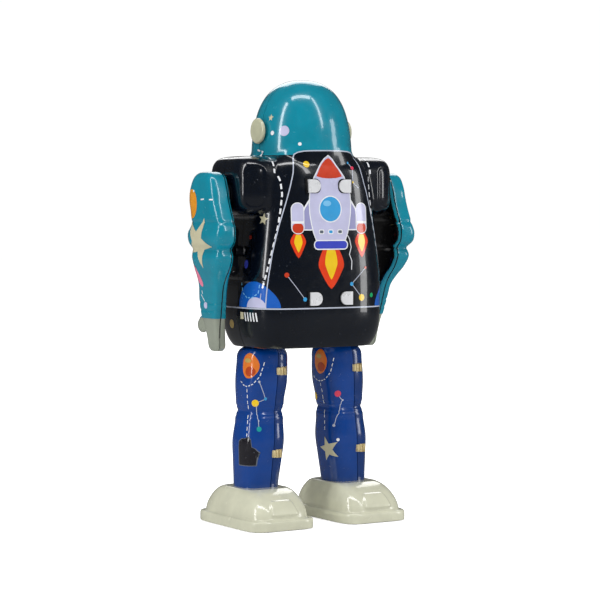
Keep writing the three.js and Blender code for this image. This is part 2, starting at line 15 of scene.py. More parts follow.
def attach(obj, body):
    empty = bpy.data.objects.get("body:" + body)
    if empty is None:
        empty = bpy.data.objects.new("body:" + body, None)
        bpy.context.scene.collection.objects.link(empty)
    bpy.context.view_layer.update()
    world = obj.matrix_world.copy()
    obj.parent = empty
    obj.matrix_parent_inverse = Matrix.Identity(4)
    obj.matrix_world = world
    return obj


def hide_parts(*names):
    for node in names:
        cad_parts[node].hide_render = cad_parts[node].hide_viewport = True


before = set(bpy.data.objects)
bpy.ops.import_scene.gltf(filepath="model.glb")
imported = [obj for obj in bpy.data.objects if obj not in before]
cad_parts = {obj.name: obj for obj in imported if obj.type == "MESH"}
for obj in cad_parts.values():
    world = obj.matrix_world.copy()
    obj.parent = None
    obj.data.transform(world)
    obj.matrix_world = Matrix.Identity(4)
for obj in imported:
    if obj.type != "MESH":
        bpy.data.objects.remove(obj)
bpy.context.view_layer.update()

MM = 0.001
STAND_Y = 1.8              # outlines are drawn about the hips; the robot stands centred on its feet
WALL = 0.8                 # thickness of the body and foot pressings
LIMB_WALL = 0.5            # thickness of the arm and leg pressings
SEAM = 0.15                # half of the gap at a seam
MIDDLE_Y = -2.5            # plane where the front and back body pressings meet
NECK_Z = 157.6             # the teal of the head starts here
BELT_LINE_Z = 93.0         # the pale line printed round the body
BODY_MOUTH_Z = 76.0        # the open bottom that the legs rise into

# Squareness of the outlines: 2 is an ellipse, and higher powers are closer to a rectangle.
TORSO_POWER = 4
HEAD_POWER = 2.2
SHOULDER_POWER = 4
ARM_POWER = 4.6
LEG_POWER = 3.4
FLANGE_POWER = 6.5
DOME_POWER = 5

# [height, half width, half depth]
TORSO = [
    [74.6, 24.6, 17.2], [75.0, 26, 18.4], [75.8, 27.4, 19.6], [78.4, 29.3, 21.4], [82, 30.6, 23],
    [87, 31.3, 23.8], [95, 31.4, 24], [104, 31.4, 24], [118, 30, 23.6], [132, 28.4, 23],
    [145, 26.8, 22.4], [153, 24.6, 21], [157, 21, 18], [159, 16, 14],
]
HEAD = [
    [149, 21, 21], [160, 21, 21], [167, 20.4, 20.4], [173, 19.3, 19.4], [178.6, 17.5, 17.6],
    [183, 15, 15.2], [186.4, 11.8, 12], [188.8, 7.8, 8], [189.9, 3.4, 3.4], [190, 0.6, 0.6],
]
# [height, half width, half depth, squareness] where the square torso turns into the round head
NECK = [
    [150, 21.4, 21.2, 3.6], [157, 19.8, 20.9, 3.0], [161, 18.8, 20.7, 2.7], [165, 17.4, 20.4, 2.4],
    [168, 16, 20.0, 2.2],
]
SHOULDER_Z = 144.4
# [distance from the middle, half height, half depth]
SHOULDER = [
    [19, 12.8, 17.6], [28, 12.8, 17.6], [31, 12.8, 17.6], [35, 12.2, 16], [37.4, 10.6, 12.6],
    [38.2, 8.0, 9],
]
EAR_Z = 168.0
EAR_RADIUS = 5.5

# [height, centre y, half depth, inner x, outer x]
ARM = [
    [74, -8.9, 2.6, 36.4, 40.2], [75.4, -8.9, 4.2, 35.7, 40.8], [80, -8.8, 4.8, 35.8, 41.6],
    [86, -8.7, 5.8, 36.4, 42.6], [89.4, -8.6, 6.6, 36.8, 43.3], [93.5, -8.2, 7.4, 37.2, 43.9],
    [97.5, -7.6, 7.8, 37.6, 44.4], [101.6, -6.6, 8.1, 38, 44.9], [105.6, -4.7, 8.8, 38.6, 46.4],
    [109.7, -2.8, 10.6, 39.2, 48], [114.7, -1.8, 12, 39.5, 49.2], [117.8, -2.4, 11.9, 39.6, 48.6],
    [121, -1.5, 13.8, 39.6, 50.2], [124.5, -1.3, 14.2, 39.6, 50.5], [128, -0.8, 13, 39.6, 49.6],
    [133, -2.2, 12, 39.6, 49.4], [138.5, -4, 11.4, 39.6, 49.4], [144.5, -4.4, 10, 39.6, 49.2],
    [148.3, -4.2, 7.8, 39.8, 48.6], [150.2, -4, 4.4, 40.8, 47.4], [150.5, -4, 1.6, 42.6, 45.6],
]
ARM_SPLIT_X = 41.8         # the arm's seam runs upright here above the elbow
ARM_SPLIT_LEAN = 0.07      # and leans inwards by this slope below it
ELBOW_Z = 112.0
CUFF_Z = 88.4              # the hand's colour starts below here
THUMB = {"place": (40.6, -16.6, 85.4), "half": (2.3, 4.2, 3.8), "tilt": 0.35}

# [height, centre x, half width, half depth]
LEG_Y = -4.0
LEG = [
    [12, 22.4, 8.3, 8.0], [19, 22, 8.7, 8.4], [28, 21.4, 9.4, 9.1], [36, 20.9, 9.9, 9.6],
    [43, 20.5, 9.3, 9.0], [47.2, 20.3, 8.9, 8.7], [48.6, 20.2, 8.3, 8.1], [50, 20.1, 8.9, 8.7],
    [54, 20, 9.3, 9.0], [60, 19.5, 9.9, 9.6], [68.4, 19, 9.8, 9.5], [73.6, 18.8, 9.3, 9.1],
    [74.6, 18.7, 8.7, 8.7], [75.6, 18.6, 7.5, 7.8],
]
LEG_SEAM_SHIFT = 2.5       # the seam of each leg runs this far to the robot's right of the leg's middle

# [half width, half length, centre x, centre y]
FOOT_FLANGE = [16, 26, 23.3, -1.8]
# [height, how far the flange's edge is set back there]
FLANGE_EDGE = [(0, 0.1), (0.3, 0), (3.6, 0), (4.3, 0.15), (4.7, 0.6)]
# [height, half width, half length, centre x, centre y]
FOOT_DOME = [
    [4.0, 14.7, 24.6, 23.3, -1.8], [6, 14.5, 24.2, 23.3, -1.8], [8.5, 14.2, 23.2, 23.2, -1.9],
    [11.2, 13.5, 21.2, 23.0, -2.1], [13.4, 12.6, 18.8, 22.9, -2.5], [15.2, 11.6, 15.6, 22.6, -3],
    [16.1, 10.6, 12.6, 22.4, -3.4],
]


# ---------- camera, light and floor ----------

CAMERA_AZIMUTH = 148.5     # degrees round from the robot's front
CAMERA_DISTANCE = 0.94
CAMERA_HEIGHT = 0.137
CAMERA_PITCH = 2.525       # degrees downwards
CAMERA_LENS = 130.8
CAMERA_SHIFT = -0.0075
LIGHT_TARGET = (0, 0, 0.1)
FLOOR_HALF = 4             # metres


def make_camera():
    azimuth, pitch = math.radians(CAMERA_AZIMUTH), math.radians(CAMERA_PITCH)
    data = bpy.data.cameras.new("camera")
    data.lens = CAMERA_LENS
    data.sensor_width = 36
    data.shift_x = CAMERA_SHIFT
    camera = bpy.data.objects.new("camera", data)
    bpy.context.scene.collection.objects.link(camera)
    back = STAND_Y * MM - math.cos(azimuth) * CAMERA_DISTANCE
    camera.location = (math.sin(azimuth) * CAMERA_DISTANCE, back, CAMERA_HEIGHT)
    forward = Vector((
        -math.sin(azimuth) * math.cos(pitch), math.cos(azimuth) * math.cos(pitch), -math.sin(pitch)))
    camera.rotation_mode = "QUATERNION"
    camera.rotation_quaternion = forward.to_track_quat("-Z", "Y")
    bpy.context.scene.camera = camera


def softbox(name, azimuth, elevation, distance, size, power):
    """A soft rectangular light that faces the middle of the robot."""
    a, e = math.radians(azimuth), math.radians(elevation)
    offset = Vector((math.sin(a) * math.cos(e), -math.cos(a) * math.cos(e), math.sin(e))) * distance
    data = bpy.data.lights.new(name, "AREA")
    data.shape = "RECTANGLE"
    data.size, data.size_y = size
    data.energy = power
    light = bpy.data.objects.new(name, data)
    bpy.context.scene.collection.objects.link(light)
    light.location = Vector(LIGHT_TARGET) + offset
    light.rotation_mode = "QUATERNION"
    light.rotation_quaternion = (-offset).to_track_quat("-Z", "Y")


def make_world():
    """The backdrop is white, but the lacquer mirrors a dim room: only the lights show in it."""
    world = bpy.data.worlds.new("studio")
    world.use_nodes = True
    tree = world.node_tree
    background = tree.nodes["Background"]
    background.inputs["Color"].default_value = (1.0, 1.0, 1.0, 1)
    ray = tree.nodes.new("ShaderNodeLightPath")
    dim = mapped(tree, ray.outputs["Is Glossy Ray"], (0, 1), (0.62, 0.05))
    seen = mapped(tree, ray.outputs["Is Camera Ray"], (0, 1), (0, 1.02))
    tree.links.new(dim.outputs["Result"], seen.inputs["To Min"])
    tree.links.new(seen.outputs["Result"], background.inputs["Strength"])
    bpy.context.scene.world = world


def make_lights():
    softbox("left_strip", 91, 26, 1.3, (0.16, 1.3), 5.5)
    softbox("right_strip", 206, 40, 1.3, (0.10, 1.0), 2.2)
    softbox("right_wash", 228, 8, 1.3, (0.22, 0.8), 2.4)
    softbox("top_light", 150, 72, 1.3, (1.0, 0.22), 5)
    softbox("front_light", 330, 35, 1.4, (0.8, 0.8), 4)


def make_floor():
    """The floor lifts itself to the backdrop's white for the camera alone, and is dim in reflections."""
    mesh = bpy.data.meshes.new("floor")
    corners = [(x * FLOOR_HALF, y * FLOOR_HALF, 0) for x, y in ((-1, -1), (1, -1), (1, 1), (-1, 1))]
    mesh.from_pydata(corners, [], [(0, 1, 2, 3)])
    floor = bpy.data.objects.new("floor", mesh)
    bpy.context.scene.collection.objects.link(floor)
    paint = bpy.data.materials.new("pale_floor")
    paint.use_nodes = True
    tree = paint.node_tree
    shader = tree.nodes["Principled BSDF"]
    shader.inputs["Roughness"].default_value = 0.9
    shader.inputs["Specular IOR Level"].default_value = 0.1
    shader.inputs["Emission Color"].default_value = (0.62, 0.62, 0.62, 1)
    ray = tree.nodes.new("ShaderNodeLightPath")
    tree.links.new(ray.outputs["Is Camera Ray"], shader.inputs["Emission Strength"])
    dim = mapped(tree, ray.outputs["Is Glossy Ray"], (0, 1), (0.93, 0.12))
    tree.links.new(dim.outputs["Result"], shader.inputs["Base Color"])
    mesh.materials.append(paint)


# ---------- materials ----------

def srgb(red, green, blue):
    """Screen colour values from 0 to 255 as linear light."""
    def linear(value):
        value /= 255
        return value / 12.92 if value <= 0.04045 else ((value + 0.055) / 1.055) ** 2.4
    return (linear(red), linear(green), linear(blue), 1)


def node(tree, kind, **sockets):
    made = tree.nodes.new(kind)
    for name, value in sockets.items():
        made.inputs[name.replace("_", " ")].default_value = value
    return made


def noise(tree, coordinates, scale, detail=3.0, distortion=0.0):
    made = node(tree, "ShaderNodeTexNoise", Scale=scale, Detail=detail, Distortion=distortion)
    tree.links.new(coordinates.outputs["Object"], made.inputs["Vector"])
    return made.outputs["Fac"]


def mapped(tree, value, source, target):
    """A node that maps a value from one (low, high) range onto another."""
    made = tree.nodes.new("ShaderNodeMapRange")
    for name, (low, high) in (("From", source), ("To", target)):
        made.inputs[name + " Min"].default_value = low
        made.inputs[name + " Max"].default_value = high
    tree.links.new(value, made.inputs["Value"])
    return made


def spread(tree, value, low, high):
    """Stretches a 0 to 1 noise so that its usual middle range runs from low to high."""
    return mapped(tree, value, (0.3, 0.7), (low, high)).outputs["Result"]


BARE_METAL = srgb(190, 195, 200)


def scaled(colour, factor):
    return tuple(min(channel * factor, 1) for channel in colour[:3]) + (1,)


def surface(name, colour, tone, metallic, rough, coat, waviness, grain, scuff=0.0):
    """A material with cloudy tone, uneven gloss, gentle waves in the sheet, fine grain and small scuffs.

    Tone is the share by which the colour varies; waviness and grain are heights in mm.
    """
    material = bpy.data.materials.new(name)
    material.use_nodes = True
    tree = material.node_tree
    shader = tree.nodes["Principled BSDF"]
    shader.inputs["Metallic"].default_value = metallic
    shader.inputs["Coat Weight"].default_value = coat
    shader.inputs["Coat Roughness"].default_value = 0.05
    place = tree.nodes.new("ShaderNodeTexCoord")

    tint = node(tree, "ShaderNodeMix")
    tint.data_type = "RGBA"
    tint.inputs[6].default_value = scaled(colour, 1 - tone)
    tint.inputs[7].default_value = scaled(colour, 1 + tone)
    tree.links.new(spread(tree, noise(tree, place, 140, 4), 0, 1), tint.inputs[0])
    result = tint.outputs[2]
    if scuff > 0:
        marks = mapped(tree, noise(tree, place, 620, 6, 1.5), (0.69, 0.73), (0, scuff))
        worn = node(tree, "ShaderNodeMix")
        worn.data_type = "RGBA"
        worn.inputs[7].default_value = BARE_METAL
        tree.links.new(marks.outputs["Result"], worn.inputs[0])
        tree.links.new(result, worn.inputs[6])
        result = worn.outputs[2]
    tree.links.new(result, shader.inputs["Base Color"])
    gloss = spread(tree, noise(tree, place, 300, 3), rough * 0.8, rough * 1.25)
    tree.links.new(gloss, shader.inputs["Roughness"])

    waves = node(tree, "ShaderNodeBump", Strength=1.0, Distance=waviness * MM)
    tree.links.new(noise(tree, place, 70, 1), waves.inputs["Height"])
    fine = node(tree, "ShaderNodeBump", Strength=1.0, Distance=grain * MM)
    tree.links.new(noise(tree, place, 2600, 2), fine.inputs["Height"])
    tree.links.new(waves.outputs["Normal"], fine.inputs["Normal"])
    tree.links.new(fine.outputs["Normal"], shader.inputs["Normal"])
    return material


def lacquer(name, colour, scuff=0.12):
    """Glossy printed tin."""
    return surface(name, colour, 0.07, 0.0, 0.22, 1.0, 0.05, 0.0012, scuff)


INKS = {
    "navy": srgb(3, 11, 24),
    "teal": srgb(0, 132, 154),
    "leg_blue": srgb(0, 60, 138),
    # a darker copy of the leg blue: painted shade on the half of each leg turned away from the light
    "leg_blue_shaded": srgb(0, 48, 112),
    "ivory": srgb(207, 207, 184),
    "hand_grey": srgb(146, 152, 138),
    "beige": srgb(202, 196, 164),
    "white": srgb(232, 234, 238),
    "pale_line": srgb(186, 192, 208),
    "lavender": srgb(192, 192, 222),
    "shade_lavender": srgb(150, 150, 192),
    "red": srgb(196, 58, 26),
    "deep_red": srgb(140, 34, 22),
    "orange": srgb(226, 104, 22),
    "yellow": srgb(240, 198, 20),
    "sky": srgb(54, 156, 214),
    "band_blue": srgb(58, 70, 186),
    "planet_blue": srgb(16, 92, 188),
    "green": srgb(18, 160, 96),
    "pink": srgb(232, 128, 158),
    "gold": srgb(190, 160, 84),
    "black": srgb(8, 8, 10),
    "planet_orange": srgb(222, 118, 38),
    "planet_rust": srgb(178, 66, 24),
    "orange_print": srgb(224, 148, 34),
    "red_flame": srgb(222, 58, 12),
    "pale_sky": srgb(120, 190, 232),
    "grey_ink": srgb(92, 100, 112),
    "sea_green": srgb(20, 150, 150),
    "pink_red": srgb(216, 62, 92),
    "dark_print": srgb(24, 22, 30),
}
lacquers = {}


def ink(name):
    if name not in lacquers:
        lacquers[name] = lacquer("ink_" + name, INKS[name])
    return lacquers[name]


# ---------- fine shapes ----------

def smooth_rows(rows, count):
    """Rows on a smooth curve through the listed ones, evenly spaced along it."""
    points = np.array(rows, float)
    steps = np.linalg.norm(np.diff(points, axis=0), axis=1)
    place = np.concatenate([[0], np.cumsum(steps)])
    slopes = np.gradient(points, place, axis=0)
    made = []
    for at in np.linspace(0, place[-1], count):
        i = min(int(np.searchsorted(place, at, side="right")) - 1, len(rows) - 2)
        span = place[i + 1] - place[i]
        t = (at - place[i]) / span
        start = (2 * t**3 - 3 * t**2 + 1) * points[i] + (t**3 - 2 * t**2 + t) * span * slopes[i]
        end = (3 * t**2 - 2 * t**3) * points[i + 1] + (t**3 - t**2) * span * slopes[i + 1]
        made.append(start + end)
    return np.array(made)


def loft(rings, power, count=96):
    """A closed skin of rounded-rectangle rings, each (x, y, z, half x, half y) in mm."""
    turn = (np.arange(count) + 0.5) / count * 2 * np.pi
    across = np.sign(np.cos(turn)) * np.abs(np.cos(turn)) ** (2 / power)
    along = np.sign(np.sin(turn)) * np.abs(np.sin(turn)) ** (2 / power)
    vertices = []
    for x, y, z, half_x, half_y in rings:
        for a, b in zip(across, along):
            vertices.append((x + half_x * a, y + half_y * b, z))
    faces = []
    for ring in range(len(rings) - 1):
        for i in range(count):
            here, following = ring * count + i, ring * count + (i + 1) % count
            faces.append((here, following, following + count, here + count))
    faces.append(tuple(range(count))[::-1])
    faces.append(tuple(range((len(rings) - 1) * count, len(rings) * count)))
    return np.array(vertices), faces


def to_world(points):
    return (np.asarray(points, float) + (0, STAND_Y, 0)) * MM


def to_drawing(points):
    return np.asarray(points, float) / MM - (0, STAND_Y, 0)


def new_mesh(name, vertices, faces):
    mesh = bpy.data.meshes.new(name)
    mesh.from_pydata([tuple(v) for v in to_world(vertices)], [], faces)
    mesh.update()
    return mesh


def new_object(name, mesh):
    made = bpy.data.objects.new(name, mesh)
    bpy.context.scene.collection.objects.link(made)
    return made


def evaluated(thing):
    """The object's mesh with its modifiers applied; the object itself is removed."""
    view = bpy.context.evaluated_depsgraph_get()
    mesh = bpy.data.meshes.new_from_object(thing.evaluated_get(view))
    bpy.data.objects.remove(thing)
    return mesh


def fused(name, volumes, voxel, smoothing):
    """One smooth skin round several overlapping closed volumes, as a press would draw it."""
    vertices, faces, start = [], [], 0
    for points, loops in volumes:
        vertices.extend(points)
        faces.extend(tuple(i + start for i in loop) for loop in loops)
        start += len(points)
    thing = new_object(name, new_mesh(name, vertices, faces))
    remesh = thing.modifiers.new("remesh", "REMESH")
    remesh.mode = "VOXEL"
    remesh.voxel_size = voxel * MM
    ease = thing.modifiers.new("ease", "SMOOTH")
    ease.factor = 0.5
    ease.iterations = smoothing
    return evaluated(thing)


def cut(mesh, point, normal, one_side):
    """A copy with new edges where a plane meets it, and only the normal's side of it if asked."""
    work = bmesh.new()
    work.from_mesh(mesh)
    bmesh.ops.bisect_plane(
        work, geom=work.verts[:] + work.edges[:] + work.faces[:], dist=1e-7,
        plane_co=Vector(to_world(point)), plane_no=Vector(normal), clear_inner=one_side)
    made = bpy.data.meshes.new(mesh.name)
    work.to_mesh(made)
    work.free()
    return made


def keep_side(mesh, point, normal):
    return cut(mesh, point, normal, True)


def score(mesh, z):
    """Edges round the mesh at a height, so that two finishes part on a clean line."""
    return cut(mesh, (0, 0, z), (0, 0, 1), False)


def shell(name, mesh, thickness=WALL):
    """A pressing of even thickness under the given skin."""
    thing = new_object(name, mesh)
    wall = thing.modifiers.new("wall", "SOLIDIFY")
    wall.thickness = thickness * MM
    wall.offset = -1
    wall.use_even_offset = False
    made = evaluated(thing)
    made.name = name
    return made


def values(items, name):
    """One vector property of all of a mesh's vertices or faces, a row for each."""
    found = np.zeros(len(items) * 3)
    items.foreach_get(name, found)
    return found.reshape(-1, 3)


def push(mesh, depth_of):
    """Moves each vertex inwards along its normal by depth_of(places in mm, normals) in mm."""
    places, normals = values(mesh.vertices, "co"), values(mesh.vertices, "normal")
    depth = depth_of(to_drawing(places), normals)
    places -= normals * depth[:, None] * MM
    mesh.vertices.foreach_set("co", places.ravel())
    mesh.update()


def ramp(value, low, high):
    share = np.clip((value - low) / (high - low), 0, 1)
    return share * share * (3 - 2 * share)


def pad_mask(u, v, centre, half, radius, edge):
    """1 inside a rounded rectangle and 0 outside, with a soft edge."""
    du = np.abs(u - centre[0]) - (half[0] - radius)
    dv = np.abs(v - centre[1]) - (half[1] - radius)
    outside = np.hypot(np.maximum(du, 0), np.maximum(dv, 0)) + np.minimum(np.maximum(du, dv), 0) - radius
    return 1 - ramp(outside, -edge, edge)


def shade_smooth(mesh, angle=40):
    mesh.polygons.foreach_set("use_smooth", [True] * len(mesh.polygons))
    if angle < 180:
        mesh.set_sharp_from_angle(angle=math.radians(angle))


def piece(name, mesh, body, materials, replaces=()):
    chosen = [0] * len(mesh.polygons)
    mesh.polygons.foreach_get("material_index", chosen)
    mesh.materials.clear()
    for material in materials:
        mesh.materials.append(material)
    mesh.polygons.foreach_set("material_index", chosen)
    made = new_object(name, mesh)
    made.data.name = name
    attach(made, body)
    if replaces:
        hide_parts(*replaces)
    return made


def mirrored(mesh, name):
    """The same piece for the robot's other side."""
    made = mesh.copy()
    made.name = name
    places = values(made.vertices, "co")
    places[:, 0] *= -1
    made.vertices.foreach_set("co", places.ravel())
    made.flip_normals()
    made.update()
    return made


# ---------- body ----------

def neck_slabs():
    """Thin overlapping slabs that carry the torso's corners up into the round head without a step."""
    slabs = []
    for low, high in zip(NECK, NECK[1:]):
        for share in (0, 0.25, 0.5, 0.75):
            z, a, b, power = (u + (v - u) * share for u, v in zip(low, high))
            rings = []
            for rise in (-1.2, 0, 1.2):
                rings.append((0, MIDDLE_Y, z + rise, a - abs(rise) / 6, b - abs(rise) / 6))
            slabs.append(loft(rings, power))
    return slabs


def shoulder_blocks():
    """Both shoulders: a block is lofted upwards and laid on its side."""
    block, faces = loft([(0, MIDDLE_Y, x, h, b) for x, h, b in smooth_rows(SHOULDER, 40)], SHOULDER_POWER)
    made = []
    for side in (1, -1):
        lying = np.stack([side * block[:, 2], block[:, 1], SHOULDER_Z + block[:, 0]], axis=1)
        made.append((lying, faces if side < 0 else [loop[::-1] for loop in faces]))
    return made


def body_skin():
    torso = loft([(0, MIDDLE_Y, z, a, b) for z, a, b in smooth_rows(TORSO, 70)], TORSO_POWER)
    head = loft([(0, MIDDLE_Y, z, a, b) for z, a, b in smooth_rows(HEAD, 60)], HEAD_POWER)
    skin = fused("body_skin", [torso, head] + neck_slabs() + shoulder_blocks(), 0.5, 10)
    push(skin, body_relief)
    return skin


def body_relief(places, normals):
    """Sunk panels on the backs and fronts of the shoulders, and a fine ledge under the waist."""
    x, y, z = places.T
    facing = ramp(np.abs(normals[:, 1]), 0.35, 0.6)
    panel = pad_mask(np.abs(x), z, (32.4, 144.2), (3.9, 8.6), 2.8, 0.6) * facing
    ledge = np.exp(-((z - 104.6) / 0.7) ** 2) * (1 - ramp(np.abs(normals[:, 1]), 0.6, 0.8))
    return 0.55 * panel + 0.25 * ledge


def make_body():
    skin = body_skin()
    open_skin = keep_side(skin, (0, 0, BODY_MOUTH_Z), (0, 0, 1))
    for side, name in ((1, "body_back_shell"), (-1, "body_front_shell")):
        half = keep_side(open_skin, (0, MIDDLE_Y + side * SEAM, 0), (0, side, 0))
        mesh = shell(name, score(half, NECK_Z))
        heights = to_drawing(values(mesh.polygons, "center"))[:, 2]
        mesh.polygons.foreach_set("material_index", (heights > NECK_Z).astype(np.int32))
        shade_smooth(mesh)
        piece("fine_" + name, mesh, "root", [ink("navy"), ink("teal")], [name])
    return skin


# ---------- turned pieces ----------

def turned(name, profile, place, count=64):
    """A turned piece along X from (x, radius) pairs that start and end on the axis, in mm."""
    vertices, faces = [], []
    inner = profile[1:-1]
    for x, radius in inner:
        for i in range(count):
            turn = 2 * math.pi * i / count
            vertices.append((x, place[0] + radius * math.cos(turn), place[1] + radius * math.sin(turn)))
    for ring in range(len(inner) - 1):
        for i in range(count):
            here, following = ring * count + i, ring * count + (i + 1) % count
            faces.append((here, following, following + count, here + count))
    start, end = len(vertices), len(vertices) + 1
    vertices.append((profile[0][0], place[0], place[1]))
    vertices.append((profile[-1][0], place[0], place[1]))
    last = (len(inner) - 1) * count
    for i in range(count):
        faces.append((start, (i + 1) % count, i))
        faces.append((end, last + i, last + (i + 1) % count))
    return new_mesh(name, vertices, faces)


def make_ears():
    rim = 0.85
    steps = 8
    plate = [(20.9, 0), (20.9, 4.7)]
    for i in range(steps + 1):
        turn = math.pi * i / steps
        plate.append((21.75 - rim * math.cos(turn), EAR_RADIUS - rim + rim * math.sin(turn)))
    plate += [(22.5, 3.9), (22.75, 2.0), (22.8, 0)]
    stub = [(17.6, 0), (17.6, 2.8), (19.5, 3.4), (20.4, 3.1), (20.6, 2.8), (20.6, 0)]
    enamel = lacquer("ear_enamel", srgb(190, 190, 162), 0.2)
    # The stub between the ear disc and the head is near-black: painted shade for the gap behind the ear.
    stub_shade = surface("stub_painted_shade", srgb(22, 22, 24), 0.15, 0.0, 0.5, 0.0, 0.05, 0.004)
    for name, profile, material, slot in (
            ("ear_disc", plate, enamel, "ear_tin"), ("ear_stub", stub, stub_shade, "dark_stub")):
        left = turned(name, profile, (MIDDLE_Y, EAR_Z))
        shade_smooth(left)
        right = mirrored(left, name + "_right")
        piece(f"fine_{name}_left", left, "root", [material], [f"{name}_left"])
        piece(f"fine_{name}_right", right, "root", [material], [f"{name}_right"])


# ---------- arms ----------

def thumb_ball():
    """An egg-shaped thumb, tilted forwards."""
    turn = THUMB["tilt"]
    rings = []
    for z in np.cos(np.linspace(math.pi, 0, 24)):
        radius = math.sqrt(max(1 - z * z, 1e-4))
        rings.append((0, 0, z, radius, radius))
    ball, faces = loft(rings, 2)
    ball = ball * THUMB["half"]
    y, z = ball[:, 1].copy(), ball[:, 2].copy()
    ball[:, 1] = y * math.cos(turn) - z * math.sin(turn)
    ball[:, 2] = y * math.sin(turn) + z * math.cos(turn)
    return ball + THUMB["place"], faces


def arm_skin():
    rings = []
    for z, y, b, inner, outer in smooth_rows(ARM, 150):
        rings.append(((inner + outer) / 2, y, z, (outer - inner) / 2, b))
    skin = fused("arm_skin", [loft(rings, ARM_POWER), thumb_ball()], 0.35, 5)
    push(skin, arm_relief)
    return skin


def arm_relief(places, normals):
    """Two grooves round the sleeve's end, two creases at the elbow and a step down to the hand."""
    z = places[:, 2]
    grooves = sum(np.exp(-((z - at) / 0.5) ** 2) for at in (CUFF_Z + 3.4, CUFF_Z + 6.6))
    crease = sum(np.exp(-((z - at) / 0.8) ** 2) for at in (117.8, 129.2))
    step = 1 - ramp(z, CUFF_Z - 0.3, CUFF_Z + 0.1)
    return 0.22 * grooves + 0.35 * crease + 0.35 * step


def arm_seam(side):
    """Planes that part the outer pressing (1) from the inner tray (-1): upright, then leaning in below."""
    x = ARM_SPLIT_X + side * SEAM
    lean = Vector((side, 0, -side * ARM_SPLIT_LEAN)).normalized()
    return (x, 0, ELBOW_Z), (side, 0, 0), lean


def arm_half(skin, side, name):
    """The part of the arm's skin on one side of its bent seam."""
    point, upright, lean = arm_seam(side)
    work = bmesh.new()
    work.from_mesh(keep_side(keep_side(skin, (0, 0, ELBOW_Z), (0, 0, 1)), point, upright))
    work.from_mesh(keep_side(keep_side(skin, (0, 0, ELBOW_Z), (0, 0, -1)), point, lean))
    bmesh.ops.remove_doubles(work, verts=work.verts[:], dist=2e-6)
    joined = bpy.data.meshes.new(name)
    work.to_mesh(joined)
    work.free()
    return joined


def paint_arm(mesh, side):
    """Colour numbers: 0 for the sleeve, 1 for the hand, 2 for the flat inside of the sleeve, painted black
    as shade between the arm and the body.
    """
    heights = to_drawing(values(mesh.polygons, "center"))[:, 2]
    index = (heights < CUFF_Z).astype(np.int32)
    if side < 0:
        # The inside face, towards the body, is painted black: painted shade for the gap between arm and
        # body.
        flat = values(mesh.polygons, "normal")[:, 0] < -0.8
        index[flat & (heights > CUFF_Z)] = 2
    mesh.polygons.foreach_set("material_index", index)


def make_arms():
    skin = arm_skin()
    pieces = {}
    for side, part in ((1, "arm_outer_shell"), (-1, "arm_inner_tray")):
        mesh = shell(part, score(arm_half(skin, side, part), CUFF_Z), LIMB_WALL)
        paint_arm(mesh, side)
        shade_smooth(mesh)
        pieces[part] = mesh
    # The third colour, black, is painted shade on the inside face of the sleeve.
    materials = [ink("teal"), ink("hand_grey"), ink("black")]
    for part, left in pieces.items():
        right = mirrored(left, part + "_right")
        piece(f"fine_{part}_left", left, "left_arm", materials, [f"{part}_left"])
        piece(f"fine_{part}_right", right, "right_arm", materials, [f"{part}_right"])
    return skin


# ---------- legs and feet ----------

def leg_skin():
    rings = [(x, LEG_Y, z, a, b) for z, x, a, b in smooth_rows(LEG, 110)]
    skin = fused("leg_skin", [loft(rings, LEG_POWER)], 0.35, 4)
    push(skin, leg_relief)
    return skin


def leg_relief(places, normals):
    """A double groove round the knee."""
    z = places[:, 2]
    return sum(0.2 * np.exp(-((z - at) / 0.55) ** 2) for at in (46.6, 50.6))


def leg_axis(z):
    """Middle x of the leg at a height."""
    low, high = LEG[0], LEG[-1]
    share = (z - low[0]) / (high[0] - low[0])
    return low[1] + (high[1] - low[1]) * share


def make_legs():
    skin = leg_skin()
    lean = (LEG[0][1] - LEG[-1][1]) / (LEG[-1][0] - LEG[0][0])
    middle = Vector((leg_axis(40), LEG_Y, 40))
    for name, shift in (("left", -LEG_SEAM_SHIFT), ("right", LEG_SEAM_SHIFT)):
        for side, part in ((1, "leg_outer_shell"), (-1, "leg_inner_shell")):
            normal = Vector((side, 0, side * lean)).normalized()
            point = middle + Vector((shift, 0, 0)) + normal * SEAM
            mesh = shell(f"{part}_{name}", keep_side(skin, point, normal), LIMB_WALL)
            shade_smooth(mesh)
            if name == "right":
                mesh = mirrored(mesh, f"{part}_{name}")
            # The half of each leg that faces the robot's right takes the darker blue: painted shade, not a
            # second print colour.
            shaded_half = (side < 0) == (name == "left")
            paint = ink("leg_blue_shaded") if shaded_half else ink("leg_blue")
            piece(f"fine_{part}_{name}", mesh, f"{name}_leg", [paint], [f"{part}_{name}"])
    return skin


FINGER_PITCH = 1.6
FINGER_WIDTH = 1.4
FINGER_DEPTH = 2.2


def folded_tab(at, outward, fingers=3):
    """A brass tab folded over a seam, as a row of small rounded fingers with the middle one longest."""
    outward = Vector(outward).normalized()
    across = Vector((0, 0, 1)).cross(outward).normalized()
    up = outward.cross(across)
    work = bmesh.new()
    for i in range(fingers):
        shift = (i - (fingers - 1) / 2) * FINGER_PITCH
        made = bmesh.ops.create_cube(work, size=1)["verts"]
        height = 3.5 - 0.4 * abs(i - 1)
        for vertex in made:
            x, y, z = vertex.co
            place = Vector(at) + across * (shift + x * FINGER_WIDTH) + up * y * height
            place += outward * z * FINGER_DEPTH
            vertex.co = Vector(to_world(place))
    bmesh.ops.bevel(work, geom=work.edges[:], offset=0.3 * MM, segments=3, profile=0.5, affect="EDGES")
    bmesh.ops.recalc_face_normals(work, faces=work.faces[:])
    mesh = bpy.data.meshes.new("tab")
    work.to_mesh(mesh)
    work.free()
    shade_smooth(mesh, 60)
    return mesh


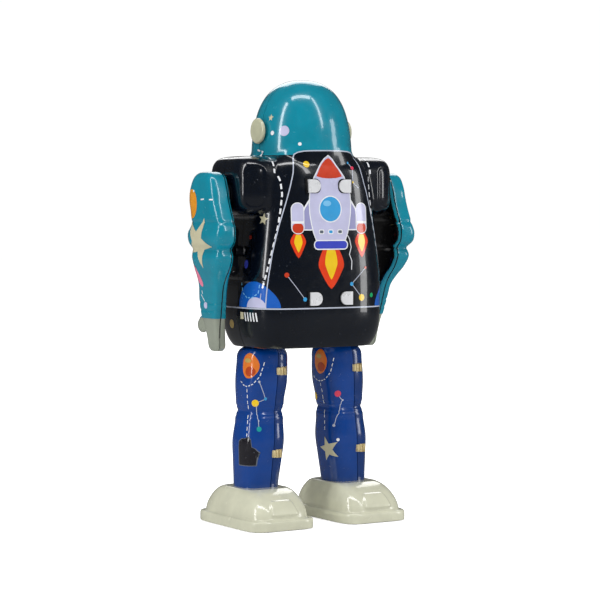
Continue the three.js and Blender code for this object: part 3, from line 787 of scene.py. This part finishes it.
def make_tabs(metal):
    """Brass tabs that hold the leg halves together at the back, and one at the body's seam."""
    for name, side in (("left", 1), ("right", -1)):
        for z, label in ((65.8, "upper"), (30.5, "lower")):
            x = side * leg_axis(z) - LEG_SEAM_SHIFT - 1.6
            mesh = folded_tab((x, LEG_Y + (9.1 if z > 50 else 8.7), z), (-0.3, 1, 0))
            piece(f"{label}_tab_{name}", mesh, f"{name}_leg", [metal])
    mesh = folded_tab((-29.0, MIDDLE_Y, 130.4), (-1, 0, 0), 2)
    piece("body_seam_tab", mesh, "root", [metal])


def foot_relief(places, normals):
    """A raised trapezoid panel on the heel and one on the toe."""
    x, y, z = places.T
    middle = FOOT_FLANGE[2]
    narrow = 1 + (z - 8.5) * 0.06
    panel = pad_mask((x - middle) * narrow, z, (0, 9.2), (6.2, 2.9), 1.4, 0.5)
    return -0.6 * panel * ramp(np.abs(normals[:, 1]), 0.3, 0.5)


def make_feet():
    half_x, half_y, x, y = FOOT_FLANGE
    flange = loft([(x, y, z, half_x - cut, half_y - cut) for z, cut in FLANGE_EDGE], FLANGE_POWER)
    dome = loft([(cx, cy, z, a, b) for z, a, b, cx, cy in smooth_rows(FOOT_DOME, 40)], DOME_POWER)
    skin = fused("foot_skin", [flange, dome], 0.4, 3)
    push(skin, foot_relief)
    open_skin = keep_side(skin, (0, 0, 0.35), (0, 0, 1))
    mesh = shell("foot_shell", open_skin)
    shade_smooth(mesh, 55)
    right = mirrored(mesh, "foot_shell_right")
    enamel = ink("ivory")
    piece("fine_foot_shell_left", mesh, "left_leg", [enamel], ["foot_shell_left"])
    piece("fine_foot_shell_right", right, "right_leg", [enamel], ["foot_shell_right"])


# ---------- printing on the tin ----------

GRID = 1.1                 # ink lies on the tin in facets of this size
INK_LIFT = 0.05            # height of bare ink over the tin
INK_STEP = 0.03            # and how much higher each further layer lies


def disc(radius, stretch=1.0, count=32):
    turns = [2 * math.pi * i / count for i in range(count)]
    return [(radius * math.cos(t), radius * stretch * math.sin(t)) for t in turns]


def star(radius, tips=5, waist=0.45, turn=90):
    made = []
    for i in range(2 * tips):
        reach = radius if i % 2 == 0 else radius * waist
        angle = math.radians(turn) + math.pi * i / tips
        made.append((reach * math.cos(angle), reach * math.sin(angle)))
    return made


def pad(half_x, half_y, radius, count=6):
    """A rounded rectangle."""
    made = []
    for corner, (sx, sy) in enumerate(((1, 1), (-1, 1), (-1, -1), (1, -1))):
        for i in range(count + 1):
            angle = math.pi / 2 * (corner + i / count)
            made.append((
                sx * (half_x - radius) + radius * math.cos(angle),
                sy * (half_y - radius) + radius * math.sin(angle)))
    return made


def flame(half, top, widest, tip, count=14):
    """A drop that is round above and pointed below."""
    side = []
    for i in range(count + 1):
        t = i / count
        if t < 0.4:
            share = t / 0.4
            side.append((half * (0.55 + 0.45 * math.sin(share * math.pi / 2)), top + (widest - top) * share))
        else:
            share = (t - 0.4) / 0.6
            side.append((half * (1 - share) ** 0.75, widest + (tip - widest) * share))
    return side + [(-x, y) for x, y in side[:-1]][::-1]


def both_sides(side):
    """A closed outline from the right half of it, listed downwards."""
    return side + [(-x, y) for x, y in side[::-1]]


def moved(outline, x, y):
    return [(a + x, b + y) for a, b in outline]


class Printing:
    """Ink on one surface, collected into a single thin piece."""

    def __init__(self, surface_mesh, mirror=False):
        places = to_drawing(values(surface_mesh.vertices, "co"))
        loops = [list(face.vertices) for face in surface_mesh.polygons]
        if mirror:
            places[:, 0] *= -1
            loops = [loop[::-1] for loop in loops]
        self.tree = BVHTree.FromPolygons([tuple(p) for p in places], loops)
        self.vertices, self.faces, self.colours, self.inks = [], [], [], []

    def thickness(self, layer):
        return INK_LIFT + INK_STEP * layer

    def spot(self, point):
        """The place on the surface nearest to a point, and the way out of the tin there."""
        place, normal, _, _ = self.tree.find_nearest(Vector(point))
        return place, normal

    def behind(self, x, z):
        """The point of the back at picture place x, z, seen from straight behind."""
        place, _, _, _ = self.tree.ray_cast(Vector((-x, 60, z)), Vector((0, -1, 0)))
        return place if place is not None else Vector((-x, MIDDLE_Y, z))

    def colour_index(self, colour):
        if colour not in self.inks:
            self.inks.append(colour)
        return self.inks.index(colour)

    def lay(self, outline, colour, layer, origin, right, up):
        """Lays an outline, drawn in the plane of right and up, onto the surface behind it."""
        normal = right.cross(up).normalized()
        work = bmesh.new()
        work.faces.new([work.verts.new((x, y, 0)) for x, y in outline])
        bmesh.ops.triangulate(work, faces=work.faces[:])
        for axis in (0, 1):
            reach = [point[axis] for point in outline]
            step = math.floor(min(reach) / GRID) + 1
            while step * GRID < max(reach):
                at = Vector((0, 0, 0))
                way = Vector((0, 0, 0))
                at[axis] = step * GRID
                way[axis] = 1
                everything = work.verts[:] + work.edges[:] + work.faces[:]
                bmesh.ops.bisect_plane(work, geom=everything, dist=1e-5, plane_co=at, plane_no=way)
                step += 1
        work.verts.index_update()
        placed = {}
        for vertex in work.verts:
            start = origin + right * vertex.co.x + up * vertex.co.y + normal * 12
            place, facing, _, _ = self.tree.ray_cast(start, -normal, 30)
            if place is not None and facing.dot(normal) > 0.12:
                placed[vertex.index] = len(self.vertices)
                self.vertices.append(place + facing * self.thickness(layer))
        index = self.colour_index(colour)
        for face in work.faces:
            if all(vertex.index in placed for vertex in face.verts):
                self.faces.append([placed[vertex.index] for vertex in face.verts])
                self.colours.append(index)
        work.free()

    def back(self, outline, colour, layer=1, x=0.0, z=0.0):
        """Ink on the robot's back: the outline is seen from behind."""
        origin = Vector((-x, 22, z))
        self.lay(outline, colour, layer, origin, Vector((-1, 0, 0)), Vector((0, 0, 1)))

    def front(self, outline, colour, layer=1, x=0.0, z=0.0):
        """Ink on the robot's front: the outline is seen from the front."""
        origin = Vector((x, -26, z))
        self.lay(outline, colour, layer, origin, Vector((1, 0, 0)), Vector((0, 0, 1)))

    def stamp(self, outline, colour, point, layer=1, turn=0.0):
        """A small outline laid square to the surface at a point."""
        place, normal = self.spot(point)
        flat = Vector((0, 0, 1)) if abs(normal.z) < 0.9 else Vector((0, 1, 0))
        right = flat.cross(normal).normalized()
        up = normal.cross(right)
        angle = math.radians(turn)
        right, up = (
            right * math.cos(angle) + up * math.sin(angle), up * math.cos(angle) - right * math.sin(angle))
        self.lay(outline, colour, layer, place, right, up)

    def line(self, points, width, colour, layer=1, closed=False):
        """A stroke of even width through points near the surface."""
        points = [Vector(p) for p in points]
        if closed:
            points.append(points[0])
        path = []
        for here, following in zip(points, points[1:]):
            steps = max(1, math.ceil((following - here).length / 0.8))
            path += [here.lerp(following, i / steps) for i in range(steps)]
        path.append(points[-1])
        path = [self.spot(p)[0] for p in path]
        index = self.colour_index(colour)
        previous = None
        for i, place in enumerate(path):
            ahead = path[min(i + 1, len(path) - 1)] - path[max(i - 1, 0)]
            side = self.spot(place)[1].cross(ahead)
            if side.length < 1e-6:
                continue
            side = side.normalized() * width / 2
            pair = []
            for edge in (place + side, place - side):
                near, normal = self.spot(edge)
                pair.append(len(self.vertices))
                self.vertices.append(near + normal * self.thickness(layer))
            if previous:
                self.faces.append([previous[0], previous[1], pair[1], pair[0]])
                self.colours.append(index)
            previous = pair

    def dashes(self, points, width, dash, space, colour, layer=1):
        """A broken stroke through points near the surface."""
        points = [Vector(p) for p in points]
        lengths = [(b - a).length for a, b in zip(points, points[1:])]
        total = sum(lengths)

        def at(distance):
            for i, length in enumerate(lengths):
                if distance <= length or i == len(lengths) - 1:
                    return points[i].lerp(points[i + 1], min(distance / length, 1))
                distance -= length

        start = 0.0
        while start + dash <= total:
            self.line([at(start), at(start + dash / 2), at(start + dash)], width, colour, layer)
            start += dash + space

    def finish(self, name, body):
        mesh = new_mesh(name, [tuple(v) for v in self.vertices], self.faces)
        mesh.polygons.foreach_set("material_index", self.colours)
        shade_smooth(mesh, 180)
        return piece(name, mesh, body, [ink(colour) for colour in self.inks])


ART_X = 0.2                # the print on the back sits a little to the right of the middle
BOOSTER_X = 15.8           # the two small boosters stand this far beside the rocket

# Right halves of outlines on the back, as (distance from the middle, height)
ROCKET_SIDE = [
    (0, 157.2), (1.6, 156.2), (3.2, 154.2), (5.0, 151.6), (7.2, 148.4), (8.8, 145), (9.8, 141), (10.1, 137),
    (9.9, 133), (9.2, 128.6), (8.2, 124.6), (6.7, 121),
]
FIN_EDGE = [(8.6, 141.5), (12.8, 135.6), (13.6, 133), (13.6, 125.8), (7, 125.8)]
FIN_FACE = [(8.6, 140.2), (12.4, 134.9), (13.2, 132.6), (13.2, 126.3), (7, 126.3)]
NOSE_SIDE = [(0, 156.4), (1.6, 155.5), (3.1, 153.8), (4.8, 151.4), (6.4, 148.6), (3.4, 147.9), (0, 147.7)]


def print_rocket(art):
    """A plain rocket with two boosters, three flames and a short trailing line."""
    def lay(outline, colour, layer, x=0, z=0):
        art.back(outline, colour, layer, ART_X + x, z)

    grown = [(x + 0.5 if x > 0 else 0, z + (0.5 if i == 0 else 0)) for i, (x, z) in enumerate(ROCKET_SIDE)]
    for side in (-1, 1):
        lay([(side * x, z) for x, z in FIN_EDGE], "white", 1)
        lay([(side * x, z) for x, z in FIN_FACE], "shade_lavender", 2)
        x = side * BOOSTER_X
        lay(flame(3.6, 124.4, 120.8, 114.2), "red_flame", 1, x)
        lay(flame(1.9, 124, 120.6, 116.6), "yellow", 2, x)
        lay(pad(3.0, 6.7, 2.9), "white", 3, x, 130.9)
        lay(pad(2.6, 6.3, 2.5), "lavender", 4, x, 130.9)
        lay(pad(2.5, 2.1, 2.0), "red", 5, x, 126.8)
        lay(pad(2.7, 0.5, 0.2), "white", 6, x, 129.2)
    lay(flame(6.4, 118.6, 110.6, 101), "red_flame", 1)
    lay(flame(3.1, 118.4, 111.6, 105), "yellow", 2)
    lay(both_sides(grown), "white", 3)
    lay(both_sides(ROCKET_SIDE), "lavender", 4)
    lay(both_sides(NOSE_SIDE), "red", 5)
    lay(pad(8.5, 2.1, 2.0), "white", 5, 0, 119.7)
    lay(pad(8.0, 1.6, 1.5), "band_blue", 6, 0, 119.7)
    lay(disc(5.7), "white", 5, 0, 134.8)
    lay(disc(5.2), "sky", 6, 0, 134.8)
    lay(moved(disc(2.0, 0.6), -1.6, 2.4), "pale_sky", 7, 0, 134.8)
    for x, shade in ((-4.6, "grey_ink"), (0, "sky"), (4.6, "grey_ink")):
        lay(pad(1.3, 1.0, 0.6), "white", 5, x, 125.2)
        lay(pad(0.9, 0.6, 0.4), shade, 6, x, 125.2)
    trail = [(8.4, 124), (9.6, 122.2), (10.4, 118.6), (9.4, 115.6), (10.6, 112.8), (10.4, 109)]
    art.line([(-x, 21, z) for x, z in trail], 0.35, "white", 1)


def print_constellation(art, places, colours, width=0.28):
    """Dots, each (colour, radius), joined by fine lines."""
    for here, following in zip(places, places[1:]):
        art.line([here, following], width, "pale_line", 1)
    for place, (colour, radius) in zip(places, colours):
        art.stamp(disc(radius), colour, place, 2)


# Right half of the panel's pale outline on the back, as (distance from the middle, height)
TONGUE = [(0, 159.5), (7, 159.4), (10.8, 159.2), (13.2, 158.7), (14.6, 157.8), (15.2, 156.4)]
PANEL = [
    (16.1, 154), (17.0, 150), (18.4, 145), (20.2, 139), (22, 133), (23.5, 128), (25, 122), (26.3, 116),
    (27.3, 110), (28.1, 104), (28.6, 98), (28.8, 93.2),
]


def around(z, count=96):
    """Points round the torso at a height, outside the tin."""
    made = []
    for i in range(count):
        turn = 2 * math.pi * i / count
        made.append((36 * math.cos(turn), MIDDLE_Y + 29 * math.sin(turn), z))
    return made


# A dashed line down the left of the back, as (x, y, height) near the tin
BRACE = [
    (21.8, -4, 160), (22.7, 1, 159), (23.6, 9, 157.6), (24, 16, 150.6), (23, 18, 146.5), (23.2, 20, 141),
    (24.2, 20, 134), (25.4, 20, 128), (27.2, 18, 118), (29, 16, 107.5), (30.4, 14, 99.5),
]
# The dashed ring round the rising planet
PLANET_RING = [
    (33, 0.5, 104), (33, 1.5, 99.5), (32.4, 5, 97.4), (32, 9, 97.6), (31, 12.6, 99.5), (31, 13.6, 104),
]


def print_panel(art):
    """The black panel's tongue over the teal, the pale outline, the belt line and the dashed braces."""
    art.back(both_sides(TONGUE + [(15.6, 155)]), "navy", 1, ART_X)
    for side in (-1, 1):
        edge = [art.behind(ART_X + side * x, z) for x, z in TONGUE + PANEL]
        art.line(edge, 0.5, "pale_line", 2)
    art.line(around(BELT_LINE_Z), 0.55, "pale_line", 2, closed=True)
    for side in (1, -1):
        points = [(side * x, y, z) for x, y, z in BRACE]
        x, y, _ = points[-1]
        art.dashes(points, 0.75, 2.3, 1.3, "white", 1)
        art.line([points[-1], (x * 1.02, y - 1, 94)], 0.4, "pale_line", 1)


def print_sky(art):
    """Dots and joined dots over the panel."""
    art.stamp(disc(1.45), "yellow", art.behind(-10.2, 153.6))
    upper = [(10.6, 154.4), (12.4, 152.2), (12.0, 146.2), (14.7, 143.9)]
    print_constellation(
        art, [art.behind(x, z) for x, z in upper],
        [("sky", 0.5), ("pink_red", 0.8), ("yellow", 0.5), ("pale_line", 0.3)])
    lower_left = [(-21, 107.2), (-12.8, 96.9)]
    print_constellation(
        art, [art.behind(x, z) for x, z in lower_left], [("red", 1.05), ("sky", 0.9)])
    lower_right = [(17.8, 109.8), (10.4, 103), (15.6, 97.1)]
    print_constellation(
        art, [art.behind(x, z) for x, z in lower_right], [("red", 0.6), ("sky", 0.85), ("yellow", 1.45)])
    art.stamp(disc(0.95), "green", art.behind(21.2, 98))


def print_planet(art, side):
    """A planet rising over the belt line, with a dashed ring round it."""
    rising = [(11 * math.cos(t), 11 * math.sin(t)) for t in np.linspace(0, math.pi, 30)]
    art.stamp(rising, "planet_blue", (side * 31, 9.5, 93.4), 1)
    glow = [(x * 0.52, y * 0.4) for x, y in rising]
    art.stamp(glow, "lavender", (side * 31, 10.5, 93.4), 2)
    ring = [(side * x, y, z) for x, y, z in PLANET_RING]
    art.dashes(ring, 0.45, 1.5, 0.9, "pale_sky", 3)


def print_bowl_marks(art, side):
    """A square, a row of strokes and a round lamp under the belt."""
    art.stamp(pad(1.3, 1.5, 0.2), "beige", (side * 33, 0.6, 89.7), 1)
    for i in range(5):
        art.stamp(pad(0.42, 1.9, 0.1), "white", (side * 33, 3.4 + 2.1 * i, 89.3), 1, turn=12)
    art.stamp(disc(1.9), "gold", (side * 33, -8.6, 85.6), 1)


def print_body(art):
    print_panel(art)
    print_sky(art)
    for side in (-1, 1):
        art.stamp(star(2.6, turn=80), "beige", (side * 27.8, 12, 130.6))
        art.stamp(disc(0.95), "deep_red", (side * 33, 4.5, 123.4))
        art.stamp(disc(1.5, 1.25), "band_blue", (side * 33, 3.2, 111.8))
        print_planet(art, side)
        print_bowl_marks(art, side)
    art.stamp(disc(0.75), "white", art.behind(-11.8, 162.2), 1)
    art.stamp(disc(2.2), "lavender", art.behind(-16.4, 167.8), 1)
    art.stamp(disc(0.95), "white", art.behind(-19.2, 167), 1)
    art.stamp(star(1.6), "beige", (19, 3.2, 173.6))


TAB_HEIGHTS = (97, 144.5)  # the motor's bent tabs, below and above


def print_slot_shade(art):
    """Painted shade at the slots that the motor's tabs come out of: a black bar for each slot and a black
    pad for the shadow under each tab.
    """
    for z in TAB_HEIGHTS:
        for side in (-1, 1):
            # painted shadow under the tab
            art.back(pad(3.4, 3.05, 2.4), "black", 8, side * 7.7, z)
            # painted shade in the slot
            art.back(pad(0.8, 3.3, 0.2), "black", 8, side * 11.0, z)


EYE_RINGS = ((4.6, "white"), (3.9, "navy"), (2.2, "yellow"), (1.0, "black"))
EYE_X = 7.4
EYE_Z = 169
GRILLE_Z = 159.6
CHEST_Z = 126
DIALS_Z = 130.5
LAMPS_Z = 119


def print_front(art):
    """A plain face, with round eyes and a grille, and a chest panel with dials and lamps."""
    for side in (-1, 1):
        for layer, (radius, colour) in enumerate(EYE_RINGS, 1):
            art.front(disc(radius), colour, layer, side * EYE_X, EYE_Z)
    art.front(pad(7, 2.4, 1.2), "white", 1, 0, GRILLE_Z)
    art.front(pad(6.5, 1.9, 1.0), "navy", 2, 0, GRILLE_Z)
    for i in range(-3, 4):
        art.front(pad(0.35, 1.7, 0.15), "white", 3, 1.7 * i, GRILLE_Z)
    art.front(pad(17.5, 13.5, 3), "pale_line", 1, 0, CHEST_Z)
    art.front(pad(16.9, 12.9, 2.6), "navy", 2, 0, CHEST_Z)
    for x, colour in ((-10, "red"), (0, "yellow"), (10, "sky")):
        art.front(disc(4.1), "white", 3, x, DIALS_Z)
        art.front(disc(3.6), colour, 4, x, DIALS_Z)
        art.front(moved(pad(0.35, 1.5, 0.2), 0, 1.2), "navy", 5, x, DIALS_Z)
    for i, colour in enumerate(("green", "orange", "sky", "pink", "yellow")):
        art.front(pad(2.1, 2.1, 0.6), "white", 3, -12 + 6 * i, LAMPS_Z)
        art.front(pad(1.7, 1.7, 0.5), colour, 4, -12 + 6 * i, LAMPS_Z)


def print_arm(art, side):
    """A patch, a star, a spot and a few marks on the outside, and the dark line of the seam."""
    face = 50 * side
    art.stamp(disc(4.6, 1.35), "orange_print", (face, -10.8, 137), 1)
    art.stamp(star(10.8, waist=0.42, turn=62), "beige", (face, -4.6, 120.6), 1)
    art.stamp(disc(2.1, 2.4), "pink", (48 * side, -10.6, 106), 1, turn=14)
    art.stamp(disc(1.45), "lavender", (45 * side, -8.6, 94), 1)
    art.line([(45 * side, -8.8, 95.6), (46 * side, -11.4, 98.4)], 0.35, "white", 1)
    for y in (-1.4, 5.6):
        art.line([(face, y - 1.4, 138.8), (face, y + 1.4, 139)], 0.55, "white", 1)
    art.line([(47 * side, -10.4, 100), (47 * side, -10.2, 98.6)], 0.4, "white", 1)
    art.stamp(disc(0.55), "white", (face, -9, 142.5), 1)
    for y, z in ((-18.6, 82.5), (-9.2, 74.2)):
        art.stamp(disc(1.0), "black", (38.6 * side, y, z), 1)
    seam = []
    for z, y, half, _, _ in ARM[2:-1]:
        drop = max(ELBOW_Z - z, 0) * ARM_SPLIT_LEAN
        seam.append((side * (ARM_SPLIT_X - drop), y + half, z))
    art.line(seam, 0.45, "black", 2)


PLANET_Z = 68.6
DARK_PATCH = [
    (-4.4, -5.6), (3.8, -5.6), (4.1, -3.2), (3.4, -2), (4.8, -0.2), (3.8, 1.6), (2.8, 2.2), (2.4, 5.2),
    (1.4, 6.4), (0.4, 4.8), (-0.6, 5.6), (-1.8, 3.8), (-2.6, 5.4), (-4.4, 4.2),
]


def print_leg(art, side):
    """A planet with a dashed ring on both legs, then each leg's own dots and patch or star."""
    def over(azimuth, z):
        """A point beside the leg, this many degrees round from its front."""
        turn = math.radians(azimuth)
        return (side * leg_axis(z) + 14 * math.sin(turn), LEG_Y - 14 * math.cos(turn), z)

    start = 116 if side > 0 else 99
    art.stamp(disc(4.3, 1.25), "planet_orange", over(start, PLANET_Z), 1)
    art.stamp(moved(disc(2.6, 0.8), 0.6, -2.4), "planet_rust", over(start, PLANET_Z), 2)
    art.stamp(moved(disc(1.9, 0.5), -0.8, 2.2), "gold", over(start, PLANET_Z), 2)
    ring = ((-26, 61.6), (-16, 60), (-2, 59.4), (16, 60.6), (34, 64), (46, 71))
    art.dashes([over(start + turn, z) for turn, z in ring], 0.38, 1.5, 0.9, "white", 1)
    stem = [over(start - 3 + 0.8 * i, 58.4 - 2.2 * i) for i in range(11)]
    art.dashes(stem, 0.38, 1.5, 1.1, "white", 1)
    if side > 0:
        print_constellation(
            art, [over(149, 61.6), over(168, 53.8), over(141, 52.4), over(153, 45), over(155, 41.9)],
            [("pale_line", 0.5), ("sky", 0.7), ("yellow", 1.5), ("pale_line", 0.3), ("sea_green", 1.1)])
        art.stamp([(x * 1.07, y * 1.06) for x, y in DARK_PATCH], "grey_ink", over(118, 31.4), 1)
        art.stamp(DARK_PATCH, "dark_print", over(118, 31.4), 2)
    else:
        print_constellation(
            art, [over(150, 54.2), over(163, 51.5), over(134, 41.1)],
            [("pink_red", 1.4), ("pale_line", 0.4), ("pale_line", 0.6)])
        art.stamp(disc(1.2, 1.4), "yellow", over(69, 52.6), 1)
        art.stamp(star(5.6, waist=0.45, turn=105), "beige", over(110, 29.8), 1)
        art.stamp(disc(0.7), "white", over(144, 34.5), 1)


# ---------- metal pieces kept from the CAD ----------

def finish_cad_nodes():
    """Steel for the works, brass for wheels and discs, blued steel for the key; returns the brass."""
    steel = surface("bright_steel", srgb(236, 237, 240), 0.06, 0.3, 0.28, 0.0, 0.04, 0.001)
    brass = surface("stamped_brass", srgb(232, 212, 160), 0.08, 0.4, 0.3, 0.0, 0.04, 0.001)
    blued = surface("blued_steel", srgb(28, 31, 38), 0.06, 0.6, 0.36, 0.0, 0.04, 0.001)
    for name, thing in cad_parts.items():
        if thing.hide_render:
            continue
        metal = steel
        if "key" in name:
            metal = blued
        elif "disc" in name or ("wheel" in name and "ratchet" not in name):
            metal = brass
        thing.data.materials.clear()
        thing.data.materials.append(metal)
    return brass


bpy.context.scene.view_settings.view_transform = "Standard"
make_camera()
make_world()
make_lights()
make_floor()
body_surface = make_body()
make_ears()
arm_surface = make_arms()
leg_surface = make_legs()
make_feet()
make_tabs(finish_cad_nodes())

body_art = Printing(body_surface)
print_body(body_art)
print_rocket(body_art)
print_slot_shade(body_art)
print_front(body_art)
body_art.finish("body_print_and_shade", "root")
for side, name in ((1, "left"), (-1, "right")):
    arm_art = Printing(arm_surface, side < 0)
    print_arm(arm_art, side)
    arm_art.finish(f"arm_print_{name}", f"{name}_arm")
    leg_art = Printing(leg_surface, side < 0)
    print_leg(leg_art, side)
    leg_art.finish(f"leg_print_{name}", f"{name}_leg")
